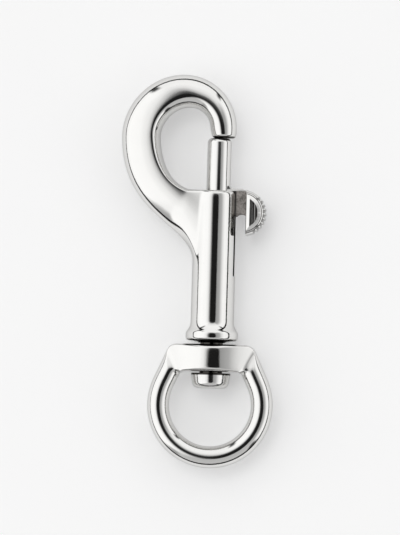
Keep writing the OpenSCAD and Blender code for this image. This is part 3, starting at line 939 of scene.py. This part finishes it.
def stem_outline(sizes, barrel):
    """The stem seen from above: a fillet against the rod, and an arch under it beside the knob."""
    rod_side = barrel.bore_x + sizes.rod_r
    end = sizes.knob_back + 0.6 * MM
    arch = ((barrel.barrel_r + sizes.knob_back) / 2, sizes.stem_foot + ARCH_H - ARCH_R)
    reach = math.degrees(math.asin((sizes.stem_foot - arch[1]) / ARCH_R))
    outline = [(barrel.bore_x, sizes.stem_foot)]
    outline += arc(arch, ARCH_R, 180 - reach, reach, 8)
    top = sizes.stem_top + sizes.rib
    outline += [(end, sizes.stem_foot), (end, sizes.stem_top), (end - RIB_RUN, top)]
    outline += arc((rod_side + STEM_FILLET, top + STEM_FILLET), STEM_FILLET, -90, -180, 6)
    outline += [(barrel.bore_x, top + STEM_FILLET)]
    return outline


def bevelled_end(sizes, reach, pocket_edge, edge):
    """Reach and height of a face's corner: a round edge, then a bevel from there in to the pocket."""
    turn_out = reach - edge * (1 - math.sin(sizes.knob_slope))
    drop = (turn_out - pocket_edge) * math.tan(sizes.knob_slope)
    middle = sizes.knob_half - drop - edge * math.cos(sizes.knob_slope)
    stop = 90 - math.degrees(sizes.knob_slope)
    return arc((reach - edge, middle), edge, 0, stop, 6) + [(pocket_edge, sizes.knob_half)]


def knob_disc(sizes):
    r, cut = sizes.knob_r, sizes.knob_cut
    rim = bevelled_end(sizes, r, r - sizes.pocket_rim, sizes.knob_edge)
    profile = [(0, -sizes.knob_half)] + [(x, -z) for x, z in reversed(rim)] + rim + [(0, sizes.knob_half)]
    bm = turned(profile, 128)
    stand_up(bm, knob_centre(sizes))
    return place(bm, "thumb_knob")


def back_block(sizes):
    """A block with the knob's flat back, its round edges and its bevels."""
    r = sizes.knob_r
    end = bevelled_end(sizes, r, r - POCKET_BACK, sizes.knob_back_edge)
    rim = [(sizes.knob_cut + r - x, z) for x, z in end]
    outline = [(2 * r, -sizes.knob_half)] + [(x, -z) for x, z in reversed(rim)]
    outline += rim + [(2 * r, sizes.knob_half)]
    bm = outline_slab(outline, -r - MM, r + MM)
    stand_up(bm, knob_centre(sizes))
    return place(bm, "knob_back_block")


def pocket_cutter(sizes, side):
    """A trough with a D-shaped outline for one face of the knob."""
    r, back = sizes.knob_r - sizes.pocket_rim, sizes.knob_cut + POCKET_BACK
    outline = arc((0, 0), r, -89, 89, 48)
    trough = [((r + back) / 2 + (r - back) / 2 * x, sizes.pocket_depth * y) for x, y in POCKET_SECTION]
    bm = outline_slab(trough, -r, r)
    lift = knob_centre(sizes) + Vector((0, 0, side * sizes.knob_half))
    stand_up(bm, lift)
    cutter = place(bm, "pocket_trough")
    disc = outline_slab(outline, -2 * sizes.pocket_depth, 2 * sizes.pocket_depth)
    bmesh.ops.translate(disc, verts=disc.verts, vec=lift)
    keep = place(disc, "pocket_outline")
    carve(cutter, keep, operation="INTERSECT")
    return settle(cutter, 30, keep)


def groove_cutter(sizes):
    """One bent bar for each grip groove, following the knob's rim and its two rounded edges."""
    bm = bmesh.new()
    rim = bevelled_end(sizes, sizes.knob_r, sizes.knob_r - sizes.pocket_rim, sizes.knob_edge)[:-2]
    rim = [(x, -z) for x, z in reversed(rim)] + rim
    for k in range(sizes.groove_count):
        turn = math.radians(FIRST_GROOVE - GROOVE_SPAN * k / sizes.groove_count)
        spoke = Vector((math.cos(turn), math.sin(turn), 0))
        side = Vector((-math.sin(turn), math.cos(turn), 0))
        ring = None
        for n, (reach, z) in enumerate(rim):
            before, after = rim[max(0, n - 1)], rim[min(len(rim) - 1, n + 1)]
            run = Vector((after[0] - before[0], after[1] - before[1])).normalized()
            normal = spoke * run.y - Vector((0, 0, run.x))
            centre = spoke * reach + Vector((0, 0, z))
            points = [centre + (side * math.cos(a) + normal * math.sin(a)) * sizes.groove_r
                      for a in (2 * math.pi * m / 10 for m in range(10))]
            if ring is None:
                ring = first_ring(bm, points)
                bmesh.ops.edgeloop_fill(bm, edges=closed_edges(bm, ring))
            else:
                ring = next_ring(bm, ring, points)
        bmesh.ops.edgeloop_fill(bm, edges=closed_edges(bm, ring))
    bmesh.ops.recalc_face_normals(bm, faces=bm.faces)
    bmesh.ops.translate(bm, verts=bm.verts, vec=knob_centre(sizes))
    return place(bm, "groove_cutter")


def line_cutter(sizes, side):
    """A fine round line that parts the bevel of one face from the grip."""
    reach, height = bevelled_end(sizes, sizes.knob_r, sizes.knob_r - sizes.pocket_rim, sizes.knob_edge)[-2]
    bm = turned([(reach + x, side * height + y) for x, y in arc((0, 0), LINE_R, 0, 360, 10)], 96)
    stand_up(bm, knob_centre(sizes))
    return place(bm, "line_cutter")


class OBJECT_OT_snap_bolt(bpy.types.Operator):
    """Build the sliding bolt: its rod, stem and knurled thumb knob"""
    bl_idname = "object.snap_bolt"
    bl_label = "Sliding Bolt"

    def execute(self, context):
        sizes, barrel = context.scene.snap_bolt, context.scene.snap_barrel
        finish = context.scene.snap_finish
        # Near-black colour for painted shade at the rod's tip.
        shaded = tuple(finish.bore)
        # Painted shade at the rod's tip, in its gap under the nose.
        tip = (sizes.rod_tip - TIP_DARK, sizes.rod_tip + MM, GAP_SOFT, TIP_REACH)
        bright = polished("buffed_bolt", finish.polish, BUFFED, [tip], shaded)
        profile = [(0, sizes.rod_foot), (sizes.rod_r - SMALL_EDGE, sizes.rod_foot),
                   (sizes.rod_r, sizes.rod_foot + SMALL_EDGE)]
        edge = sizes.rod_edge
        profile += arc((sizes.rod_r - edge, sizes.rod_tip - edge), edge, 0, 90, 8)
        profile += [(0, sizes.rod_tip)]
        rod = settle(place(turned(profile, 96, barrel.bore_x), "bolt_rod"), 35)
        present(rod, "bolt", "polished_bolt", bright)
        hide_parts("bolt")

        bm = outline_slab(stem_outline(sizes, barrel), -sizes.stem_half, sizes.stem_half)
        faces = [f for f in bm.faces if abs(f.normal.z) > 0.9]
        soften(bm, list({e for f in faces for e in f.edges}), SMALL_EDGE)
        bright_from = sizes.stem_top - BRIGHT_EDGE
        bmesh.ops.bisect_plane(bm, geom=bm.verts[:] + bm.edges[:] + bm.faces[:],
                               plane_co=(0, bright_from, 0), plane_no=(0, 1, 0))
        for face in bm.faces:
            face.material_index = int(face.calc_center_median().y > bright_from)
        stem = settle(place(bm, "bolt_stem"), 50)
        # The cast stem carries painted shade beside the barrel's slot.
        present(stem, "bolt", "polished_bolt",
                as_cast("cast_stem", finish.as_cast, barrel.barrel_r), bright)

        knob = knob_disc(sizes)
        back = back_block(sizes)
        carve(knob, back, operation="INTERSECT")
        cutters = [make(sizes, side) for make in (pocket_cutter, line_cutter) for side in (1, -1)]
        cutters.append(groove_cutter(sizes))
        carve(knob, *cutters)
        settle(knob, 30, back, *cutters)
        # The knob's pockets, lines and grooves take the dark recess colour: painted shade.
        present(knob, "bolt", "polished_bolt", bright, polished("painted_shade_recess", finish.recess_shade, 0.12))
        return {"FINISHED"}


# ---- spring ----

END_PITCH = 1.05
TURN_STEPS = 32
WIRE_SIDES = 12


class OBJECT_OT_snap_spring(bpy.types.Operator):
    """Build the coil spring under the bolt, with closed ends"""
    bl_idname = "object.snap_spring"
    bl_label = "Spring"

    def execute(self, context):
        sizes, barrel = context.scene.snap_spring, context.scene.snap_barrel
        bm = bmesh.new()
        foot = SPRING_LOW.y + sizes.wire_r
        rise = SPRING_HIGH.y - SPRING_LOW.y - 2 * sizes.wire_r
        end_rise = 2 * sizes.wire_r * END_PITCH
        middle_turns = sizes.turns - 2
        start = Vector((barrel.bore_x + sizes.coil_r, foot, 0))
        points = []
        for k in range(WIRE_SIDES):
            turn = 2 * math.pi * k / WIRE_SIDES
            points.append(start + Vector((math.cos(turn), math.sin(turn), 0)) * sizes.wire_r)
        ring = first_ring(bm, points)
        loop = closed_edges(bm, ring)
        bmesh.ops.edgeloop_fill(bm, edges=loop)
        for turns, climb in ((1, end_rise), (middle_turns, rise - 2 * end_rise), (1, end_rise)):
            steps = turns * TURN_STEPS
            made = bmesh.ops.spin(
                bm, geom=loop, cent=(barrel.bore_x, 0, 0), axis=(0, -1, 0),
                dvec=(0, climb / steps, 0), angle=2 * math.pi * turns, steps=steps,
                use_merge=False, use_duplicate=False)
            loop = [g for g in made["geom_last"] if isinstance(g, bmesh.types.BMEdge)]
        bmesh.ops.edgeloop_fill(bm, edges=loop)
        bmesh.ops.recalc_face_normals(bm, faces=bm.faces)
        piece = settle(place(bm, "coil_spring"), 60)
        present(piece, "hook", "spring_wire",
                drawn_wire("drawn_wire", context.scene.snap_finish.spring))
        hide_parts("spring")
        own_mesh(piece)
        return {"FINISHED"}


# ---- stage ----

VIEW_HEIGHT = 129.36 * MM
VIEW_DISTANCE = 1.0
VIEW_OFFSET = Vector((0.71 * MM, 0.84 * MM, 0))
VIEW_ROLL = math.radians(1.63)
VIEW_LEAN = math.radians(5.5)
VIEW_PITCH = math.radians(2.5)
FLOOR_HALF = 3.0
FLOOR_GLOW = 0.27
PALE = 0.93
KEY_FROM = (-0.12, 0.3, 1.0)
KEY_STRENGTH = 0.52
KEY_SPREAD = math.radians(30)
HORIZON_TOP = 0.15
HORIZON_NEAR = 0.19
HORIZON_FAR = 0.05
HORIZON_RISE = 0.048
HORIZON_SOFT, HORIZON_DARK = 0.85, 0.02
CARD_SOFT, CARD_LEVEL = 0.005, 0.8
CORNER_TIGHT, CORNER_WIDE = 0.04, 0.16
CORNER_FROM, CORNER_TO, CORNER_DEPTH = 0.6, 0.85, 0.93
CORNER_LIFT, NEAR_LIFT = 0.05, 0.13
SIDE_SOFT = 0.1
NEAR_LEFT_PALE = 0.45
SENSOR = 36
CORE = 0.014
PANEL_WIDE, PANEL_SHUT = 0.85, 0.55
FAR_NARROW = 1.3
SIDES = {
    "left": (180, [(0.14, CORE), (0.195, 0.31), (0.235, 0.72), (0.3, 1.04),
                   (0.42, 1.22), (0.7, 1.26), (0.9, 1.18)]),
    "right": (0, [(0.18, CORE), (0.215, 0.37), (0.38, 0.51), (0.5, 0.93), (0.62, 1.17), (0.9, 1.1)]),
    "far": (90, [(0.1, CORE), (0.17, 0.08), (0.2, 0.14), (0.235, 0.5), (0.3, 0.78),
                 (0.37, 0.99), (0.55, 1.14), (0.9, 1.1)]),
    "near": (-90, [(0.2, CORE), (0.255, 0.58), (0.9, 0.64)]),
}


class SCENE_OT_snap_stage(bpy.types.Operator):
    """Lay the pale floor, hang the light tent and set the camera over the snap"""
    bl_idname = "scene.snap_stage"
    bl_label = "Stage"

    def execute(self, context):
        floor_tone = context.scene.snap_finish.floor
        bm = bmesh.new()
        bmesh.ops.create_grid(bm, x_segments=1, y_segments=1, size=FLOOR_HALF)
        bmesh.ops.translate(bm, verts=bm.verts, vec=(0, 0, CAD_LOW.z))
        floor = place(bm, "floor")
        floor.data.materials.append(pale_floor(floor_tone))
        light_tent(context.scene)
        key_light(context.scene)
        set_camera(context.scene)
        context.scene.view_settings.view_transform = "Standard"
        return {"FINISHED"}


def pale_floor(colour):
    """Matt card that glows a little towards the camera and in reflections, and keeps the shadow."""
    material = bpy.data.materials.new("pale_card")
    material.use_nodes = True
    shader = Shader(material.node_tree)
    output = shader.node("ShaderNodeOutputMaterial")
    card = shader.node("ShaderNodeBsdfDiffuse")
    coordinate = shader.node("ShaderNodeTexCoord").outputs["Object"]
    grain = shader.noise(coordinate, 40, detail=2)
    shader.feed(card.inputs["Color"], shader.two_tone(grain, colour, darker(colour, 0.985)))
    glow = shader.node("ShaderNodeEmission")
    paths = shader.node("ShaderNodeLightPath")
    seen = shader.sum("MAXIMUM", paths.outputs["Is Camera Ray"], shader.sum(
        "MAXIMUM", paths.outputs["Is Glossy Ray"], paths.outputs["Is Transmission Ray"]))
    shader.feed(glow.inputs["Strength"], shader.sum("MULTIPLY", seen, FLOOR_GLOW))
    both = shader.node("ShaderNodeAddShader")
    shader.feed(both.inputs[0], card.outputs[0])
    shader.feed(both.inputs[1], glow.outputs[0])
    clear = shader.node("ShaderNodeBsdfTransparent")
    either = shader.node("ShaderNodeMixShader")
    shader.feed(either.inputs[0], shader.node("ShaderNodeNewGeometry").outputs["Backfacing"])
    shader.feed(either.inputs[1], both.outputs[0])
    shader.feed(either.inputs[2], clear.outputs[0])
    shader.feed(output.inputs["Surface"], either.outputs[0])
    return material


def panel_light(shader, fall, stops):
    """Brightness of one side of the tent from overhead, at 0, down to the horizon, at 1."""
    ramp = shader.node("ShaderNodeValToRGB")
    shader.feed(ramp.inputs[0], shader.sum("MULTIPLY", fall, 0.5))
    elements = ramp.color_ramp.elements
    while len(elements) > 1:
        elements.remove(elements[-1])
    for k, (height, value) in enumerate(stops):
        element = elements[0] if k == 0 else elements.new(height / 2)
        element.position = height / 2
        element.color = (value / 2, value / 2, value / 2, 1)
    return shader.sum("MULTIPLY", ramp.outputs[0], 2.0)


def horizon_gap(shader, upright):
    """The dark gap under the panels, wider on the knob's side, and the pale card that rises into it."""
    x, y, z = shader.axes(upright)
    height = shader.sum("MULTIPLY_ADD", shader.sum("MAXIMUM", shader.sum("MULTIPLY", y, -1.0), 0.0),
                        HORIZON_NEAR, HORIZON_TOP)
    height = shader.sum("MULTIPLY_ADD", shader.sum("MAXIMUM", y, 0.0), HORIZON_FAR, height)
    gap = shader.remap(shader.sum("DIVIDE", z, height), HORIZON_SOFT, 1.0, HORIZON_DARK, 1, True)
    card = shader.sum("MULTIPLY", shader.sum("MAXIMUM", shader.sum("MULTIPLY", x, -1.0), 0.0), HORIZON_RISE)
    above = shader.remap(shader.sum("SUBTRACT", z, card), -CARD_SOFT, CARD_SOFT, 0, 1)
    return shader.sum("MAXIMUM", gap, shader.sum("MULTIPLY", shader.rest(above), CARD_LEVEL))


def light_tent(scene):
    """A tent of four soft panels round an open top, with gaps at its corners and above the floor."""
    world = bpy.data.worlds.new("light_tent")
    world.use_nodes = True
    scene.world = world
    shader = Shader(world.node_tree)
    leaned = shader.node("ShaderNodeVectorRotate", rotation_type="EULER_XYZ", invert=True)
    leaned.inputs["Rotation"].default_value = (VIEW_PITCH, VIEW_LEAN, 0)
    upright = shader.node("ShaderNodeTexCoord").outputs["Generated"]
    shader.feed(leaned.inputs["Vector"], upright)
    x, y, z = shader.axes(leaned.outputs[0])
    across = shader.across(x, y)
    narrow = shader.remap(shader.sum("DIVIDE", y, across), 0.0, 0.4, 1.0, FAR_NARROW)
    x = shader.sum("MULTIPLY", x, narrow)
    fall = shader.sum("DIVIDE", shader.sum("ARCTAN2", across, z), math.pi / 2)
    across = shader.across(x, y)
    lit, weights = 0.0, ALMOST_NONE
    for angle, stops in SIDES.values():
        toward = math.radians(angle)
        facing = shader.sum("ADD", shader.sum("MULTIPLY", x, math.cos(toward)),
                            shader.sum("MULTIPLY", y, math.sin(toward)))
        share = shader.remap(shader.sum("DIVIDE", facing, across), PANEL_SHUT, PANEL_WIDE, 0, 1, True)
        lit = shader.sum("ADD", lit, shader.sum("MULTIPLY", share, panel_light(shader, fall, stops)))
        weights = shader.sum("ADD", weights, share)
    level = shader.sum("DIVIDE", lit, weights)
    diagonal = shader.sum("DIVIDE", shader.sum("ABSOLUTE", shader.sum(
        "SUBTRACT", shader.sum("ABSOLUTE", x), shader.sum("ABSOLUTE", y))), across)
    near = shader.remap(shader.sum("DIVIDE", y, across), -SIDE_SOFT, SIDE_SOFT, 1, 0, True)
    widened = shader.sum("DIVIDE", diagonal, shader.sum(
        "ADD", 1.0, shader.sum("MULTIPLY", near, shader.remap(fall, 0.5, 0.9, -0.2, 1.5))))
    corner = shader.remap(widened, CORNER_TIGHT, CORNER_WIDE, 1, 0, True)
    raised = shader.sum("ADD", fall, shader.sum("MULTIPLY_ADD", near, NEAR_LIFT, CORNER_LIFT))
    pale = shader.sum("MULTIPLY", near, shader.remap(x, -SIDE_SOFT, SIDE_SOFT, NEAR_LEFT_PALE, 0, True))
    depth = shader.remap(raised, CORNER_FROM, CORNER_TO, 0, CORNER_DEPTH, True)
    low = shader.sum("MULTIPLY", depth, shader.rest(pale))
    level = shader.sum("MULTIPLY", level, shader.rest(shader.sum("MULTIPLY", corner, low)))
    level = shader.sum("MULTIPLY", level, horizon_gap(shader, upright))
    seen = shader.node("ShaderNodeLightPath").outputs["Is Camera Ray"]
    strength = shader.sum("ADD", shader.sum("MULTIPLY", level, shader.rest(seen)),
                          shader.sum("MULTIPLY", seen, PALE))
    background = shader.node("ShaderNodeBackground")
    background.inputs["Color"].default_value = (1, 1, 1, 1)
    shader.feed(background.inputs["Strength"], strength)
    shader.feed(shader.node("ShaderNodeOutputWorld").inputs["Surface"], background.outputs[0])


def key_light(scene):
    """A broad soft light from over the crown, which the metal does not mirror."""
    data = bpy.data.lights.new("key", "SUN")
    data.energy = KEY_STRENGTH
    data.angle = KEY_SPREAD
    key = bpy.data.objects.new("key", data)
    key.rotation_euler = Vector(KEY_FROM).to_track_quat("Z", "Y").to_euler()
    key.visible_glossy = False
    scene.collection.objects.link(key)


def view_turn():
    """The camera looks down, leaning a little towards the knob, where the real snap rolls up."""
    return Euler((VIEW_PITCH, VIEW_LEAN, 0)).to_matrix() @ Matrix.Rotation(VIEW_ROLL, 3, "Z")


def set_camera(scene):
    data = bpy.data.cameras.new("camera")
    data.sensor_width = SENSOR
    data.lens = data.sensor_width * VIEW_DISTANCE / VIEW_HEIGHT
    data.clip_start, data.clip_end = 0.05, 20
    camera = bpy.data.objects.new("camera", data)
    scene.collection.objects.link(camera)
    middle = (CAD_LOW + CAD_HIGH) / 2
    turn = view_turn()
    camera.location = Vector((middle.x, middle.y, 0)) + VIEW_OFFSET + turn @ Vector((0, 0, VIEW_DISTANCE))
    camera.rotation_euler = turn.to_euler()
    scene.camera = camera


class VIEW3D_PT_snap_hook(bpy.types.Panel):
    bl_label = "Snap Hook"
    bl_idname = "VIEW3D_PT_snap_hook"
    bl_space_type = "VIEW_3D"
    bl_region_type = "UI"
    bl_category = "Snap Hook"

    def draw(self, context):
        column = self.layout.column(align=True)
        for operator in OPERATORS:
            column.operator(operator.bl_idname)


OPERATORS = (OBJECT_OT_snap_casting, OBJECT_OT_snap_eye, OBJECT_OT_snap_pin,
             OBJECT_OT_snap_bolt, OBJECT_OT_snap_spring, SCENE_OT_snap_stage)
GROUPS = {
    "snap_barrel": SnapBarrelSizes,
    "snap_hook": SnapHookSizes,
    "snap_bolt": SnapBoltSizes,
    "snap_eye": SnapEyeSizes,
    "snap_spring": SnapSpringSizes,
    "snap_finish": SnapFinish,
}
CLASSES = (*GROUPS.values(), *OPERATORS, VIEW3D_PT_snap_hook)


def register():
    for cls in CLASSES:
        bpy.utils.register_class(cls)
    for name, group in GROUPS.items():
        setattr(bpy.types.Scene, name, bpy.props.PointerProperty(type=group))


def unregister():
    for name in GROUPS:
        delattr(bpy.types.Scene, name)
    for cls in reversed(CLASSES):
        bpy.utils.unregister_class(cls)


def main():
    register()
    bpy.ops.object.snap_casting()
    bpy.ops.object.snap_eye()
    bpy.ops.object.snap_pin()
    bpy.ops.object.snap_bolt()
    bpy.ops.object.snap_spring()
    bpy.ops.scene.snap_stage()


if __name__ == "__main__":
    main()
